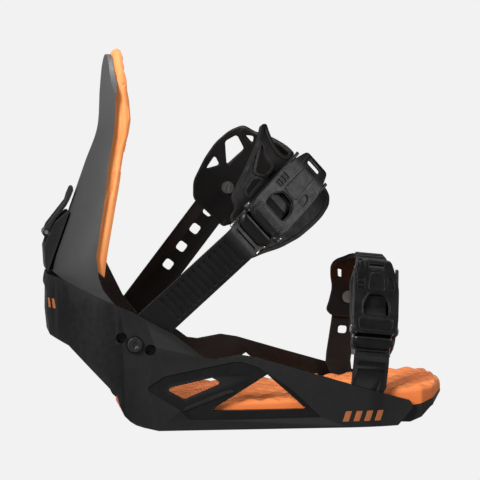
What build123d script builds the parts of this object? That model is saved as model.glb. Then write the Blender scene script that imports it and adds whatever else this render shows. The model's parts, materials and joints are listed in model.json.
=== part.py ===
"""Snowboard strap binding for the right foot: baseplate, highback, ankle strap and toe strap.

Millimetres. X runs from heel to toe, Y from the outer side (buckles, -Y) to the inner side (+Y),
Z up from the board. The origin is the mounting disc's centre on the board's surface.
"""

import os
from math import cos, radians, sin

from build123d import *

# ---- fits ----
RUN = 0.05  # radial running clearance of pins and bolts
SLIP = 0.2  # face-to-face gap between pieces that move past each other

# ---- baseplate ----
WALL = 5.0  # rail and heel loop wall
FLOOR_TOP = 8.0
HEEL_X = -100.0  # where the straight rails meet the heel loop
HEEL_RX = 56.0
RAIL_Y = 52.0  # rail half-width at the heel loop
RAIL_END_X = 113.0
RAIL_PLAN = [(-15.0, 56.0), (40.0, 57.5), (95.0, 56.0)]
RAIL_END_Y = 51.0
RELIEF = 0.9  # depth of the sunk panel around the rail windows

# ---- mounting disc ----
DISC_R = 45.6
HUB_R = 40.0
SEAT_TOP = 3.0  # height of the toothed seat the disc flange clamps on
TOOTH_H = 0.8
DISC_GAP = 2 * TOOTH_H + 0.1
DISC_TEETH = 48
BOLT_GRID = 40.0
SLOT_L = 16.0
SLOT_R = 3.2

# ---- ankle bolt: pivot of highback, ankle ladder and ankle adjusting strap ----
ANKLE_X = -93.5
ANKLE_Z = 64.2
ANKLE_ANGLE = 42.0  # ankle strap lean above the board
BOLT_HEAD_R = 6.5
BOLT_HEAD_H = 3.2
SLEEVE_R = 4.0  # sleeve nut barrel the pieces turn on
SHANK_R = 2.9

# ---- straps ----
STRAP_T = 4.0  # adjusting strap thickness
LADDER_BASE = 2.4
LADDER_T = 3.6
LADDER_HALF = 13.0
TOOTH_PITCH = 5.2
GROOVE_W = 2.4
PAD_T = 3.6
ANKLE_LAYER = RAIL_Y - WALL - 0.4  # outer face of the strap roots at the ankle bolt
WING_LAYER = ANKLE_LAYER - STRAP_T - 0.4  # outer face of the highback wings
WING_T = 3.5

# ---- toe strap pivot ----
TOE_X = 79.0
TOE_Z = 17.5
TOE_ANGLE = 84.0
TOE_LAYER = 50.7
TOE_SCREW_R = 2.5
TOE_TONGUE_R = 8.0

# ---- ratchet buckle, measured along the buckle (t), across it and out of it (n) ----
CHANNEL_T = 1.6
EAR_T = 1.2
EAR_IN = LADDER_HALF + 0.3
LADDER_N = CHANNEL_T + 0.4  # height of the ladder's inner face over the pad
AXLE_T = 17.0
AXLE_N = 10.4
AXLE_R = 1.5
PAWL_PIN_T = 23.5
PAWL_PIN_N = 11.4
RELEASE_T = 43.0
RELEASE_N = 9.0
PIN_R = 1.2
LEVER_IN = EAR_IN + EAR_T + 0.15
LEVER_HALF = 17.0
COVER_HALF = 15.8
PAWL_HALF = 9.4

os.makedirs("parts", exist_ok=True)


def save(piece, name):
    """Label a piece and write it as its own node."""
    piece.label = name
    export_step(piece, f"parts/{name}.step")


def leaning_frame(x, z, angle):
    """Side-view plane of a strap: its x runs up the strap, its y to the heel side, its normal to -Y."""
    lean = radians(angle)
    return Plane(origin=(x, 0, z), x_dir=(cos(lean), 0, sin(lean)), z_dir=(0, -1, 0))


SIDE = Plane.XZ
ANKLE = leaning_frame(ANKLE_X, ANKLE_Z, ANKLE_ANGLE)
TOE = leaning_frame(TOE_X, TOE_Z, TOE_ANGLE)


def arch_plane(frame):
    """Plane across a strap: its x is the world Y axis, its y runs up the strap."""
    return Plane(origin=frame.origin, x_dir=(0, 1, 0), z_dir=-frame.y_dir)


def side_prism(plane, points, y_from, y_to, radius=0.0):
    """Prism with a side-view outline, standing between two Y positions."""
    with BuildPart() as prism:
        with BuildSketch(plane.offset(-y_to)) as outline:
            with BuildLine():
                Polyline(*points, close=True)
            make_face()
            if radius:
                fillet(outline.vertices(), radius)
        extrude(amount=y_to - y_from)
    return prism.part


def side_slot(plane, centre, length, width, angle, y_from, y_to):
    """Slot-shaped cutter or bar seen from the side."""
    with BuildPart() as bar:
        with BuildSketch(plane.offset(-y_to)):
            with Locations(centre):
                SlotOverall(length, width, rotation=angle)
        extrude(amount=y_to - y_from)
    return bar.part


def side_pin(plane, centre, radius, y_from, y_to):
    """Round bar or bore cutter along Y."""
    with BuildPart() as bar:
        with BuildSketch(plane.offset(-y_to)):
            with Locations(centre):
                Circle(radius)
        extrude(amount=y_to - y_from)
    return bar.part


def plan_solid(inset, height, overrun=0.0):
    """Upright block with the baseplate's plan outline, drawn in by an inset."""
    end = RAIL_END_X + overrun
    with BuildPart() as block:
        with BuildSketch():
            with BuildLine():
                EllipticalCenterArc(
                    (HEEL_X, 0), HEEL_RX - inset, RAIL_Y - inset, start_angle=90, arc_size=180
                )
                for side in (-1, 1):
                    Spline(
                        (HEEL_X, side * (RAIL_Y - inset)),
                        *[(x, side * (y - inset)) for x, y in RAIL_PLAN],
                        (end, side * (RAIL_END_Y - inset)),
                        tangents=[(1, 0), (1, -side * 0.35)],
                    )
                Line((end, -(RAIL_END_Y - inset)), (end, RAIL_END_Y - inset))
            make_face()
        extrude(amount=height)
    return block.part


# ================= baseplate =================
RAMP_SCREWS = [(95.5, -28), (95.5, 28)]
RAIL_OUTLINE = [
    (-156.3, 105.5), (-153.8, 112.3), (-146.5, 110.6), (-117, 97), (-93, 86.3), (-66, 71.5),
    (-42, 53.2), (-34, 52), (-16, 54.9), (-3, 52.6), (17, 46.3), (42, 38.8), (111, 17.8),
    (114, 13), (101.5, 0), (-76, 0), (-86.6, 2.6), (-92.4, 4.6), (-96.8, 7.4), (-101, 11.7),
    (-104, 18.4), (-106, 26), (-140, 62), (-152.5, 68), (-154.3, 84), (-154, 100),
]
PANEL = [
    (-84, 32), (-71.8, 40.2), (-48.8, 44.6), (-23, 50), (-15.3, 50.2), (-3.4, 46), (22, 28.5),
    (45, 6.5), (-52, 6.5), (-61, 15.5), (-83, 29.5),
]
FRAME_RIB = [(-60, 13.4), (-55.5, 15.2), (-26, 26.6), (-21, 28), (-22.5, 29.8), (-29, 28.6), (-56, 17.6)]
SLIT_WINDOW = [(-70.5, 30.2), (-65, 32.4), (-37, 38.6), (-29.4, 34.2), (-56.6, 22.4)]
TRIANGLE_WINDOW = [(-37, 14.2), (-33.6, 17.3), (3.5, 40.4), (32.5, 14.2)]

rail_profile = side_prism(SIDE, RAIL_OUTLINE, -70, 70)
outer_block = plan_solid(0.0, 120)
inner_block = plan_solid(WALL, 120, overrun=1.0)
skin_block = plan_solid(RELIEF, 120, overrun=1.0)
floor_profile = side_prism(
    SIDE,
    [
        (-96, 7), (-92.4, 4.6), (-86.6, 2.6), (-76, 0), (101.5, 0), (103, 4), (101, FLOOR_TOP),
        (-96, FLOOR_TOP),
    ],
    -60, 60,
)
panel = side_prism(SIDE, PANEL, -70, 70, radius=1.5)
slit_window = side_prism(SIDE, SLIT_WINDOW, -70, 70, radius=1.6)
triangle_window = side_prism(SIDE, TRIANGLE_WINDOW, -70, 70)
frame_rib = side_prism(SIDE, FRAME_RIB, -70, 70)

with BuildPart() as baseplate:
    add(outer_block)
    add(inner_block, mode=Mode.SUBTRACT)
    add(rail_profile, mode=Mode.INTERSECT)
    # sunk panel on the outside of both rails
    add((panel - frame_rib) & (outer_block - skin_block), mode=Mode.SUBTRACT)
    # floor with the disc's stepped opening
    add(floor_profile & outer_block)
    Cylinder(HUB_R + 0.4, 30, mode=Mode.SUBTRACT)
    with Locations((0, 0, SEAT_TOP + 10)):
        Cylinder(DISC_R + 0.4, 20, mode=Mode.SUBTRACT)
    # toothed seat for the disc
    with BuildSketch(Plane.XY.offset(SEAT_TOP)):
        with PolarLocations((HUB_R + DISC_R) / 2 + 0.4, DISC_TEETH):
            Rectangle(DISC_R - HUB_R - 1, 1.6)
    extrude(amount=TOOTH_H)
    add(slit_window, mode=Mode.SUBTRACT)
    add(triangle_window, mode=Mode.SUBTRACT)
    # bores for the sleeve nut: the pivot and one spare position on each side of it
    for offset_x, offset_z in [(0, 0), (-9.3, 4.8), (11.7, -4.4)]:
        add(
            side_pin(SIDE, (ANKLE_X + offset_x, ANKLE_Z + offset_z), SLEEVE_R + RUN, -70, 70),
            mode=Mode.SUBTRACT,
        )
    # countersunk holes for the toe ramp screws
    with Locations(*[(x, y, 0) for x, y in RAMP_SCREWS]):
        Cone(5.1, 2.55, 2.8, align=(Align.CENTER, Align.CENTER, Align.MIN), mode=Mode.SUBTRACT)
        Cylinder(2.55, 30, mode=Mode.SUBTRACT)
    # bosses inside the rails, with blind bores for the toe strap inserts
    for side in (-1, 1):
        face = Plane(origin=(TOE_X, side * TOE_LAYER + side * 0.1, TOE_Z), z_dir=(0, side, 0))
        with BuildSketch(face):
            Circle(9)
        extrude(amount=3)
        with BuildSketch(face):
            Circle(3.6)
        extrude(amount=4.6, mode=Mode.SUBTRACT)
save(baseplate.part, "baseplate")

# ================= mounting disc =================
SLOT_DEPTH = 2.2
with BuildPart() as mounting_disc:
    with BuildSketch(Plane.XY.offset(DISC_GAP / 2)):
        Circle(HUB_R)
    extrude(amount=SEAT_TOP)
    with BuildSketch(Plane.XY.offset(SEAT_TOP + DISC_GAP)):
        Circle(DISC_R)
    extrude(amount=FLOOR_TOP - 0.4 - SEAT_TOP - DISC_GAP)
    with BuildSketch(Plane.XY.offset(SEAT_TOP + TOOTH_H)):
        Circle(HUB_R)
    extrude(amount=DISC_GAP)
    with BuildSketch(Plane.XY.offset(SEAT_TOP + DISC_GAP)):
        with PolarLocations((HUB_R + DISC_R) / 2, DISC_TEETH, start_angle=180 / DISC_TEETH):
            Rectangle(DISC_R - HUB_R - 1, 1.6)
    extrude(amount=-TOOTH_H)
    with BuildSketch(Plane.XY):
        with GridLocations(BOLT_GRID, BOLT_GRID, 2, 2):
            SlotOverall(SLOT_L, 2 * SLOT_R)
    extrude(amount=20, mode=Mode.SUBTRACT)
    with BuildSketch(Plane.XY.offset(FLOOR_TOP - 0.4)):
        with GridLocations(BOLT_GRID, BOLT_GRID, 2, 2):
            SlotOverall(SLOT_L + 6, 2 * SLOT_R + 6)
    extrude(amount=-SLOT_DEPTH, mode=Mode.SUBTRACT)
save(mounting_disc.part, "mounting_disc")

# ================= toe ramp =================
RAMP_OUTLINE = [
    (103.4, 1), (112.5, 0.8), (121, 4.4), (129, 10.4), (143.5, 17.4), (144.8, 19.4), (131, 16.6),
    (121, 14.2), (111, 12), (88, 11.6), (88, FLOOR_TOP + 0.05), (103.4, FLOOR_TOP + 0.05),
]
TOE_PLAN = [
    (100, -45.4), (121, -46), (131.5, -37), (143.2, -10), (148, 16), (147.4, 32), (141, 42.5), (120, 46),
    (100, 45.4),
]
ramp_side = side_prism(SIDE, RAMP_OUTLINE, -60, 60)
with BuildPart() as toe_ramp:
    with BuildSketch():
        with BuildLine():
            Polyline(*TOE_PLAN, close=True)
        make_face()
        with Locations((94.5, 0)):
            Rectangle(14, 76)
    extrude(amount=40)
    add(ramp_side, mode=Mode.INTERSECT)
    with Locations(*[(x, y, FLOOR_TOP) for x, y in RAMP_SCREWS]):
        Cylinder(2.5, 6.4, mode=Mode.SUBTRACT)
save(toe_ramp.part, "toe_ramp")

with BuildPart() as toe_ramp_screws:
    with Locations(*[(x, y, 0.4) for x, y in RAMP_SCREWS]):
        Cone(4.6, 2.45, 2.4, align=(Align.CENTER, Align.CENTER, Align.MIN))
        Cylinder(2.45, 10.4, align=(Align.CENTER, Align.CENTER, Align.MIN))
save(toe_ramp_screws.part, "toe_ramp_screws")

# ================= footbed =================
FOOTBED_SIDE = [
    (-97.5, FLOOR_TOP + 0.1), (86, FLOOR_TOP + 0.1), (86, 12.3), (110.8, 12.3), (121, 14.5),
    (131, 16.9), (144.6, 19.7), (149, 22.4), (148.2, 25.6), (137, 28.4), (119, 28.4), (95, 26),
    (70, 24.6), (20, 21.8), (-88, 20.6), (-99, 15.5),
]
FOOTBED_PLAN = [(-99, 36), (-92, 45.2), (-15, 50.3), (40, 51.9), (57, 51.7), (62, 43.6), (101, 43.6)]
footbed_side = side_prism(SIDE, FOOTBED_SIDE, -60, 60)
with BuildPart() as footbed:
    with BuildSketch():
        with BuildLine():
            Polyline(
                *[(x, -y) for x, y in FOOTBED_PLAN], *TOE_PLAN[1:-1], *reversed(FOOTBED_PLAN), close=True
            )
        make_face()
    extrude(amount=40)
    add(footbed_side, mode=Mode.INTERSECT)
save(footbed.part, "footbed")

# ================= highback =================
SPINE_ANGLE = 70.0
SPINE_X = -148.5
SPINE_Z = 125.0
SPINE = leaning_frame(SPINE_X, SPINE_Z, SPINE_ANGLE)
SPINE_SLOPE = cos(radians(SPINE_ANGLE)) / sin(radians(SPINE_ANGLE))
# height, back apex, depth of the bowl, half-width
WING_TOP = 100.0  # the wings are flat below this height
SHELL_LEVELS = [(WING_TOP, -149.8, 44.5, WING_LAYER), (113, -150.6, 43, 43), (SPINE_Z, SPINE_X, 40, 44)]
for level_z, level_rx, level_ry in [(140, 36, 45.4), (155, 32, 46.5), (172, 26, 47.4), (190, 19, 48)]:
    SHELL_LEVELS.append((level_z, SPINE_X + SPINE_SLOPE * (level_z - SPINE_Z), level_rx, level_ry))
SHELL_LEVELS += [
    (204, -119.2, 16, 48), (216, -115, 14, 48), (236, -112.9, 12, 47.5), (252, -111.4, 6.5, 47),
    (266, -109.3, 4, 46.5), (281, -106.6, 3, 46),
]
NEAR_FRONT = [
    (-103.5, 285), (-103.5, 256), (-105.6, 240), (-105.8, 228), (-106.9, 216), (-109.3, 203),
    (-111.5, 190.5), (-114.4, 165), (-118, 141), (-120, 128), (-118, 111), (-115, 102.6), (-105.5, 90.6),
    (-92.4, 81.9),
]
FAR_FRONT = NEAR_FRONT[:8] + [(-114, 141), (-110.5, 126), (-104, 111.3), (-93.2, 89.2), (-82.5, 75.5)]
BOLT_LUG = [(-81.5, 70), (-80.5, 61), (-86, 53), (-98, 51.5), (-106, 58)]
WING_LOW = [
    (-113, 80), (-119.4, 96.4), (-128.8, 101.5), (-139.2, 106.6), (-146, 111.2), (-153, 116),
    (-160, 280),
]


def bowl(inset, shift=0.0, widen=0.0):
    """Solid whose back is the highback's surface, drawn in by an inset and moved forward."""
    with BuildPart() as solid:
        for z, back_x, rx, ry in SHELL_LEVELS:
            half = ry - inset + widen
            with BuildSketch(Plane.XY.offset(z)) as section:
                with BuildLine():
                    back = EllipticalCenterArc(
                        (back_x + rx + inset + shift, 0), rx, half, start_angle=90, arc_size=180
                    )
                    Polyline(back @ 0, (-70, half), (-70, -half), back @ 1)
                make_face()
            if z == WING_TOP:
                wings = section.sketch
        loft()
        extrude(wings, amount=-55)
    return solid.part


near_trim = side_prism(SIDE, NEAR_FRONT + BOLT_LUG + WING_LOW, -60, 0)
far_trim = side_prism(SIDE, FAR_FRONT + BOLT_LUG + WING_LOW, 0, 60)


SHOULDER_Z = 244.0  # the highback's round top springs from this height
SHELL_TOP = 272.5
PAD_TOP = 277.0


def front_outline(top, half):
    """Upright block with the highback's outline as seen from the front, with an arched top."""
    with BuildPart() as block:
        with BuildSketch(Plane.YZ.offset(-165)):
            with BuildLine():
                arc = ThreePointArc((half, SHOULDER_Z), (0, top), (-half, SHOULDER_Z))
                Polyline(arc @ 1, (-half, 40), (half, 40), arc @ 0)
            make_face()
        extrude(amount=100)
    return block.part


BLOCK_A = 14.5  # clamp bolt's place up the spine, in the spine frame
SPINE_SLOT = (-14.0, 40.0)  # from and to, up the spine
SPINE_SLOT_HALF = 2.9
with BuildPart() as highback_shell:
    add(bowl(0.0))
    add(bowl(WING_T), mode=Mode.SUBTRACT)
    add(near_trim + far_trim, mode=Mode.INTERSECT)
    add(front_outline(SHELL_TOP, 47), mode=Mode.INTERSECT)
    # slot for the lean block's keel and its clamp bolt
    low, high = SPINE_SLOT
    add(
        side_prism(
            SPINE, [(low, -20), (high, -20), (high, 20), (low, 20)], -SPINE_SLOT_HALF, SPINE_SLOT_HALF
        ),
        mode=Mode.SUBTRACT,
    )
    add(side_pin(SIDE, (ANKLE_X, ANKLE_Z), SLEEVE_R + RUN, -70, 70), mode=Mode.SUBTRACT)
save(highback_shell.part, "highback_shell")

PAD_INSET = WING_T + 0.2
PAD_FRONT = [
    (-109, 276.8), (-103, 276), (-101, 268), (-98.2, 256), (-95.2, 240), (-94.2, 226), (-96.1, 215),
    (-98.8, 207), (-101.6, 190), (-106.4, 165), (-109.5, 146), (-112, 130), (-114.5, 111),
    (-127, 122), (-143, 150), (-143, 276.8),
]
with BuildPart() as highback_pad:
    add(bowl(PAD_INSET))
    add(bowl(0.0, shift=13.0, widen=8.0), mode=Mode.SUBTRACT)
    add(side_prism(SIDE, PAD_FRONT, -50, 50), mode=Mode.INTERSECT)
    add(front_outline(PAD_TOP, 44), mode=Mode.INTERSECT)
    # pocket over the clamp plate's travel
    add(side_prism(SPINE, [(0, -7.4), (48, -7.4), (48, 5), (0, 5)], -9, 9), mode=Mode.SUBTRACT)
save(highback_pad.part, "highback_pad")

# ================= forward lean adjuster, in the spine frame =================
BLOCK_SIDE = [
    (-11.5, 2.2), (-9, 3.6), (3.5, 8.9), (10.5, 9.1), (24, 7.3), (33.5, 2), (34.4, 0.4),
    (-12, 0.4),
]
BLOCK_HALF = 14.0
KEEL_HALF = SPINE_SLOT_HALF - SLIP
LEVER_W = 8.0
PIN_B = 10.9
with BuildPart() as lean_block:
    add(side_prism(SPINE, BLOCK_SIDE, -BLOCK_HALF, BLOCK_HALF))
    # keel that runs in the shell's slot
    add(side_prism(SPINE, [(-11.8, 1), (-11.8, -2), (-9, -3), (-3, -3), (4, 1)], -KEEL_HALF, KEEL_HALF))
    # trough for the lever's heel, and the bore for the clamp bolt
    add(
        side_prism(SPINE, [(8, 6.6), (22, 6.6), (24, 12), (6, 12)], -LEVER_W - 0.4, LEVER_W + 0.4),
        mode=Mode.SUBTRACT,
    )
    add(side_prism(SPINE, [(11, 3), (18, 3), (18, 12), (11, 12)], -3.2, 3.2), mode=Mode.SUBTRACT)
    with BuildSketch(Plane(origin=SPINE.from_local_coords((BLOCK_A, 0, 0)), z_dir=SPINE.y_dir)):
        Circle(2.5 + RUN)
    extrude(amount=20, both=True, mode=Mode.SUBTRACT)
save(lean_block.part, "lean_block")

bolt_plane = Plane(origin=SPINE.from_local_coords((BLOCK_A, -6.8, 0)), z_dir=SPINE.y_dir)
with BuildPart() as lean_clamp_bolt:
    with BuildSketch(bolt_plane):
        Circle(2.45)
    extrude(amount=15.6)
    add(side_pin(SPINE, (BLOCK_A, PIN_B), 3.1, -2.7, 2.7))
    add(side_pin(SPINE, (BLOCK_A, PIN_B), 1.5 + RUN, -5, 5), mode=Mode.SUBTRACT)
save(lean_clamp_bolt.part, "lean_clamp_bolt")

with BuildPart() as lean_clamp_plate:
    add(side_prism(SPINE, [(5, -6.6), (24, -6.6), (24, -4.6), (5, -4.6)], -7, 7))
    with BuildSketch(bolt_plane):
        Circle(2.45 + RUN)
    extrude(amount=10, both=True, mode=Mode.SUBTRACT)
save(lean_clamp_plate.part, "lean_clamp_plate")

LEVER_SIDE = [
    (12.2, 12.9), (20, 12.4), (30, 9.1), (41, 5.4), (46, 5.6), (51.5, 5.2), (52.6, 3.6), (50, 2.4),
    (44, 2.6), (38, 3.4), (25, 7.7), (16, 8.4), (11.4, 9.0), (11.0, 11.5),
]
with BuildPart() as lean_lever:
    add(side_prism(SPINE, LEVER_SIDE, -LEVER_W, LEVER_W))
    add(side_prism(SPINE, [(8, 6), (19, 6), (19, 16), (8, 16)], -3, 3), mode=Mode.SUBTRACT)
    add(side_pin(SPINE, (BLOCK_A, PIN_B), 1.5 + RUN, -20, 20), mode=Mode.SUBTRACT)
save(lean_lever.part, "lean_lever")

with BuildPart() as lean_lever_pin:
    add(side_pin(SPINE, (BLOCK_A, PIN_B), 1.5, -LEVER_W + 0.2, LEVER_W - 0.2))
save(lean_lever_pin.part, "lean_lever_pin")

# ================= ankle bolts and sleeve nuts =================
SLEEVE_IN = WING_LAYER - WING_T - 0.2  # inner end of the sleeve's barrel, where its flange starts
HEAD_SEAT = RAIL_Y + 0.5
with BuildPart() as ankle_bolts:
    for side in (-1, 1):
        outside = Plane(origin=(ANKLE_X, side * HEAD_SEAT, ANKLE_Z), z_dir=(0, side, 0))
        with BuildSketch(outside):
            Circle(BOLT_HEAD_R)
        extrude(amount=BOLT_HEAD_H, taper=20)
        with BuildSketch(outside.offset(BOLT_HEAD_H)):
            RegularPolygon(2.6, 6)
        extrude(amount=-2, mode=Mode.SUBTRACT)
        with BuildSketch(outside):
            Circle(SHANK_R)
        extrude(amount=-(HEAD_SEAT - SLEEVE_IN - 0.6))
save(ankle_bolts.part, "ankle_bolts")

with BuildPart() as ankle_sleeve_nuts:
    for side in (-1, 1):
        inside = Plane(origin=(ANKLE_X, side * SLEEVE_IN, ANKLE_Z), z_dir=(0, side, 0))
        with BuildSketch(inside):
            Circle(SLEEVE_R)
        extrude(amount=RAIL_Y - 0.1 - SLEEVE_IN)
        with BuildSketch(inside):
            Circle(7.5)
        extrude(amount=-2)
        with BuildSketch(inside.offset(-1)):
            Circle(SHANK_R + RUN)
        extrude(amount=20, mode=Mode.SUBTRACT)
save(ankle_sleeve_nuts.part, "ankle_sleeve_nuts")

# ================= toe strap screws and rail inserts =================
TOE_ROOT = TOE_LAYER - LADDER_T  # inner face of both toe strap roots
with BuildPart() as toe_strap_screws:
    for side in (-1, 1):
        under_head = Plane(origin=(TOE_X, side * (TOE_ROOT - SLIP), TOE_Z), z_dir=(0, side, 0))
        with BuildSketch(under_head):
            Circle(5)
        extrude(amount=-2.4)
        with BuildSketch(under_head.offset(-2.4)):
            RegularPolygon(1.8, 6)
        extrude(amount=1.4, mode=Mode.SUBTRACT)
        with BuildSketch(under_head):
            Circle(TOE_SCREW_R)
        extrude(amount=LADDER_T + 3.8)
save(toe_strap_screws.part, "toe_strap_screws")

with BuildPart() as toe_strap_inserts:
    for side in (-1, 1):
        with BuildSketch(Plane(origin=(TOE_X, side * (TOE_LAYER + 0.15), TOE_Z), z_dir=(0, side, 0))):
            Circle(3.55)
            Circle(TOE_SCREW_R + RUN, mode=Mode.SUBTRACT)
        extrude(amount=4.5)
save(toe_strap_inserts.part, "toe_strap_inserts")


# ================= straps =================
def arch_band(frame, corners, radius, thickness, h_from, h_to):
    """Strap band that follows an arch over the foot; corners are (Y, distance up the strap)."""
    plane = arch_plane(frame)
    with BuildPart() as band:
        with BuildSketch(plane.offset(-h_to)):
            with BuildLine():
                FilletPolyline(*corners, radius=radius)
                offset(amount=thickness / 2, side=Side.BOTH)
            make_face()
        extrude(amount=h_to - h_from)
    return band.part


def buckle_frame(frame, layer, corner_s, climb, start):
    """Plane of a ratchet buckle: x up the buckle, normal out of it, on the pad's outer face."""
    climb = radians(climb)
    across = Vector(0, 1, 0)
    up = frame.x_dir
    travel = across * cos(climb) + up * sin(climb)
    out = across * -sin(climb) + up * cos(climb)
    corner = frame.origin + across * -layer + up * corner_s
    return Plane(origin=corner + travel * start - out * (LADDER_N + LADDER_T / 2), x_dir=travel, z_dir=out)


def buckle_side(buckle):
    """Side view of a buckle: x up the buckle, y out of it."""
    return Plane(origin=buckle.origin, x_dir=buckle.x_dir, z_dir=-buckle.y_dir)


def ladder_strap(frame, layer, corner_s, climb, start, end_t, root_r, teeth_from):
    """Toothed strap: flat from its pivot, bent at a corner to run through the buckle."""
    buckle = buckle_frame(frame, layer, corner_s, climb, start)
    side = buckle_side(buckle)
    reach = start + end_t
    rise = radians(climb)
    tip = (-layer + reach * cos(rise), corner_s + reach * sin(rise))
    band = arch_band(
        frame, [(-layer, -root_r), (-layer, corner_s), tip], 12, LADDER_T, -LADDER_HALF, LADDER_HALF
    )
    shoulder = root_r + 3
    root = [
        (0, root_r), (shoulder, LADDER_HALF), (300, LADDER_HALF), (300, -LADDER_HALF),
        (shoulder, -LADDER_HALF), (0, -root_r),
    ]
    outline = side_prism(frame, root, -80, 40) + side_pin(frame, (0, 0), root_r, -80, 40)
    outer = layer + LADDER_T / 2
    grooves = []
    s = teeth_from
    while s < corner_s - 3.5:
        grooves.append(
            side_prism(
                frame,
                [(s, -10), (s + GROOVE_W, -10), (s + GROOVE_W, 10), (s, 10)],
                -outer - 1, -outer + LADDER_T - LADDER_BASE,
            )
        )
        s += TOOTH_PITCH
    t = 3.5 - start
    while t < end_t - 6:
        top = LADDER_N + LADDER_T
        low = LADDER_N + LADDER_BASE
        grooves.append(
            side_prism(
                side, [(t, low), (t + GROOVE_W, low), (t + GROOVE_W, top + 1), (t, top + 1)], -10, 10
            )
        )
        t += TOOTH_PITCH
    with BuildPart() as ladder:
        add(band)
        add(outline, mode=Mode.INTERSECT)
        add(grooves, mode=Mode.SUBTRACT)
    return ladder.part


ANKLE_LAYER_MID = ANKLE_LAYER - STRAP_T + LADDER_T / 2
TOE_LAYER_MID = TOE_LAYER - LADDER_T / 2
ANKLE_CORNER = 106.0
TOE_CORNER = 31.0
ANKLE_CLIMB = 61.7
TOE_CLIMB = 66.0
ANKLE_START = 6.0  # distance from the ladder's bend to the buckle's front edge
TOE_START = 4.0
LADDER_END = 57.0

ankle_ladder = ladder_strap(
    ANKLE, ANKLE_LAYER_MID, ANKLE_CORNER, ANKLE_CLIMB, ANKLE_START, LADDER_END, 13.0, 35.0
)
ankle_ladder -= side_pin(ANKLE, (0, 0), SLEEVE_R + RUN, -80, 0)
save(ankle_ladder, "ankle_ladder")

toe_ladder = ladder_strap(
    TOE, TOE_LAYER_MID, TOE_CORNER, TOE_CLIMB, TOE_START, LADDER_END, TOE_TONGUE_R, 22.0
)
toe_ladder -= side_pin(TOE, (0, 0), TOE_SCREW_R + RUN, -80, 0)
save(toe_ladder, "toe_ladder")


def rounded_hole(plane, centre, length, width, y_from, y_to):
    """Cutter for a rounded adjusting hole."""
    with BuildPart() as hole:
        with BuildSketch(plane.offset(-y_to)):
            with Locations(centre):
                RectangleRounded(length, width, 2)
        extrude(amount=y_to - y_from)
    return hole.part


# ankle adjusting strap
REACH = leaning_frame(ANKLE_X, ANKLE_Z, 52.5)
HOLE_PITCH = 17.0
FIRST_HOLE = 59.0
ANKLE_SCREW = (133.0, 0.0)
reach_outline = [(0, 12.5), (140, 12.5), (146, 6), (146, -6), (140, -12.5), (0, -12.5)]
ankle_adjusting_strap = side_prism(REACH, reach_outline, ANKLE_LAYER - STRAP_T, ANKLE_LAYER)
ankle_adjusting_strap += side_pin(REACH, (0, 0), 12.5, ANKLE_LAYER - STRAP_T, ANKLE_LAYER)
for index in range(4):
    ankle_adjusting_strap -= rounded_hole(REACH, (FIRST_HOLE + index * HOLE_PITCH, 0), 7.2, 7.6, 0, 80)
ankle_adjusting_strap -= side_pin(REACH, (0, 0), SLEEVE_R + RUN, 0, 80)
ankle_adjusting_strap -= side_pin(REACH, ANKLE_SCREW, 2.6, 0, 80)
save(ankle_adjusting_strap, "ankle_adjusting_strap")

def flank(layer, ladder_layer, ladder_corner, climb, run):
    """Corner points of a pad's near side, parallel to the buckle it carries."""
    rise = radians(climb)
    drop = LADDER_N + LADDER_T / 2 + PAD_T / 2 + 0.05
    corner = ladder_corner + ((ladder_layer - layer) * sin(rise) - drop) / cos(rise)
    return [(-layer, corner), (-layer + run * cos(rise), corner + run * sin(rise))]


# ankle pad: an open frame over the instep
PAD_LAYER = ANKLE_LAYER - STRAP_T - SLIP - PAD_T / 2
ANKLE_ARCH = [
    (-PAD_LAYER, 90), *flank(PAD_LAYER, ANKLE_LAYER_MID, ANKLE_CORNER, ANKLE_CLIMB, 80.0), (12, 185),
    (31, 175), (PAD_LAYER, 146), (PAD_LAYER, 103),
]
PAD_NEAR = [
    (104, 10), (111.7, 12), (114.5, 18.7), (121.9, 19.4), (125.2, 28.2), (142.5, 33.2), (161, 39.3),
    (181.2, 47), (182, 43.5), (179, 41), (176.9, 33.7), (174.9, 25.6), (174.4, 18), (184, 14),
    (196, 12), (196, -20), (189, -22), (184, -27), (176, -31.5), (165, -33.4), (156, -32.9),
    (142, -30.9), (127, -25.7), (115, -19), (104, -14),
]
PAD_FAR = [
    (105.8, 34), (107, 37), (114.7, 45.4), (133, 52.6), (147, 56), (160.5, 56), (172, 52.5),
    (180, 45), (195, 40), (195, -20), (183, -22.5), (165, -24), (140, -19), (124, -8), (113, 2), (108, 4),
]
FAR_WINDOWS = [
    [(140, 49), (138, 41), (128, 46)], [(153, 52), (163, 50), (160, 38), (142, 37.5)],
    [(168, 46), (174, 41), (167, 37)],
]
NEAR_WINDOWS = [
    [(168, 37), (163.5, 28), (163, 19.5), (155, 20), (150.5, 27)],
    [(146.5, 24.5), (150, 19.2), (134.5, 19.2), (136, 22.5)],
]
ankle_band = arch_band(ANKLE, ANKLE_ARCH, 15, PAD_T, -35, 58)
near_outline = side_prism(ANKLE, PAD_NEAR, -60, 0)
far_outline = side_prism(ANKLE, PAD_FAR, 0, 60)
with BuildPart() as instep_notch:
    with BuildSketch(Plane(origin=ANKLE.origin, x_dir=(0, 1, 0), z_dir=ANKLE.x_dir)):
        with BuildLine():
            Polyline((11, 60), (8, 41), (5, 33), (2.5, 18.5), (12, 17), (22, 30), (27, 60), close=True)
        make_face()
    extrude(amount=220)
with BuildPart() as ankle_pad:
    add(ankle_band)
    add(near_outline + far_outline, mode=Mode.INTERSECT)
    add(instep_notch.part, mode=Mode.SUBTRACT)
    for window in FAR_WINDOWS:
        add(side_prism(ANKLE, window, 5, 60, radius=1), mode=Mode.SUBTRACT)
    for window in NEAR_WINDOWS:
        add(side_prism(ANKLE, window, -60, -5, radius=1), mode=Mode.SUBTRACT)
    add(side_pin(REACH, ANKLE_SCREW, 2.55, 5, 60), mode=Mode.SUBTRACT)


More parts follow.
